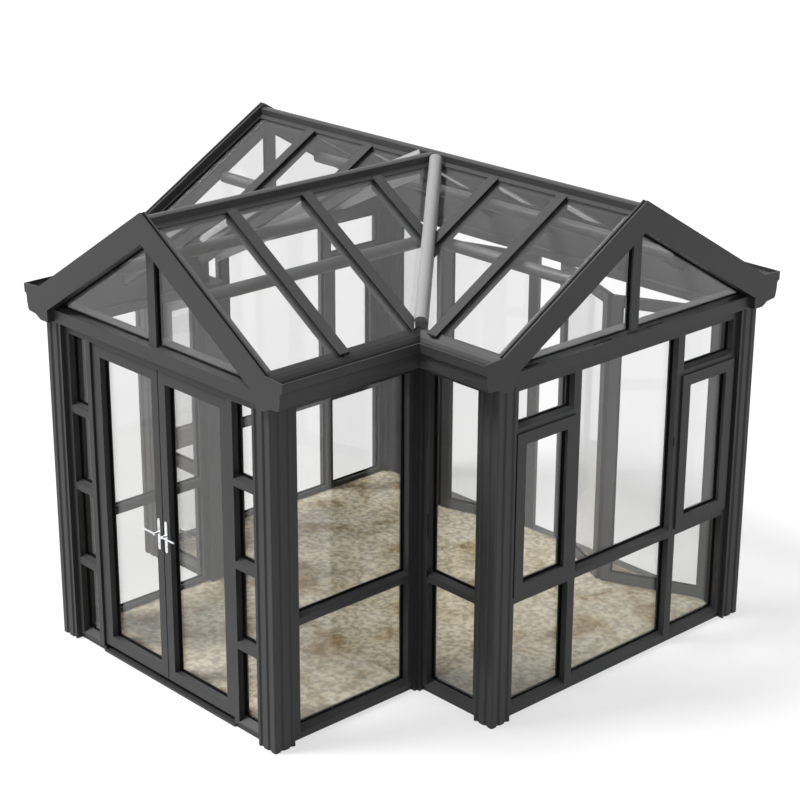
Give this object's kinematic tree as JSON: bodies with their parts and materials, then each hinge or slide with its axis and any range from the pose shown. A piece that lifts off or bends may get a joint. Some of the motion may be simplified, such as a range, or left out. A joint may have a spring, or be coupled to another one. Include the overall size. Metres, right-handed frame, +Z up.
{
  "type": "conservatory",
  "caption": "Glass conservatory on a T-shaped plan: gabled main room and gabled entrance wing, dark aluminium frames, glazed roof with valleys, French doors, folding doors at the back.",
  "frame": {"origin": "middle of the footprint's bounding box, on the ground", "axes": "+X along the main ridge to the right seen from the entrance, +Y from the entrance doors towards the back wall, +Z up"},
  "size_m": [3.6, 3.746, 3.115],
  "materials": {
    "frame": "dark grey powder coat, satin",
    "post": "dark grey powder coat, fluted covers",
    "roof_bar": "dark grey powder coat, satin",
    "valley": "light grey anodised cap",
    "handle": "satin silver",
    "glass": "clear insulated glass",
    "floor": "mottled tan stone"
  },
  "bodies": {
    "house": {"floor_slab": "floor", "corner_posts": "post", "inner_posts": "post", "left_side_light": "frame", "right_side_light": "frame", "door_frame": "frame", "wing_left_wall": "frame", "wing_right_wall": "frame", "front_left_wall": "frame", "front_right_wall": "frame", "left_end_wall": "frame", "right_end_wall": "frame", "back_frame": "frame", "casements": "frame", "folding_doors": "frame", "side_light_glass": "glass", "left_wall_glass": "glass", "right_wall_glass": "glass", "left_end_glass": "glass", "right_end_glass": "glass", "folding_glass": "glass", "wing_left_eaves": "frame", "wing_right_eaves": "frame", "front_left_eaves": "frame", "front_right_eaves": "frame", "back_eaves": "frame", "wing_gable_frame": "frame", "left_gable_frame": "frame", "right_gable_frame": "frame", "gable_glass": "glass", "wing_verge": "frame", "left_verge": "frame", "right_verge": "frame", "main_ridge": "roof_bar", "wing_ridge": "roof_bar", "valleys": "valley", "wing_rafters": "roof_bar", "main_rafters": "roof_bar", "purlins": "roof_bar", "wing_roof_glass": "glass", "main_roof_glass": "glass"},
    "left_door": {"left_door": "frame", "left_door_glass": "glass", "left_plates": "handle"},
    "right_door": {"right_door": "frame", "right_door_glass": "glass", "right_plates": "handle"},
    "left_lever": {"left_lever": "handle"},
    "right_lever": {"right_lever": "handle"}
  },
  "joints": [
    {"name": "left_door_hinge", "type": "hinge", "parent": "house", "child": "left_door", "pos_m": [-0.6755, -1.7, 1.1], "axis": [0, 0, 1], "range_deg": [0, 100]},
    {"name": "right_door_hinge", "type": "hinge", "parent": "house", "child": "right_door", "pos_m": [0.6755, -1.7, 1.1], "axis": [0, 0, -1], "range_deg": [0, 100]},
    {"name": "left_lever_turn", "type": "hinge", "parent": "left_door", "child": "left_lever", "pos_m": [-0.036, -1.749, 1.06], "axis": [0, -1, 0], "range_deg": [0, 40], "stiffness_Nm_per_rad": 1.2, "springref_deg": -28.65},
    {"name": "right_lever_turn", "type": "hinge", "parent": "right_door", "child": "right_lever", "pos_m": [0.036, -1.749, 1.06], "axis": [0, 1, 0], "range_deg": [0, 40], "stiffness_Nm_per_rad": 1.2, "springref_deg": -28.65}
  ]
}
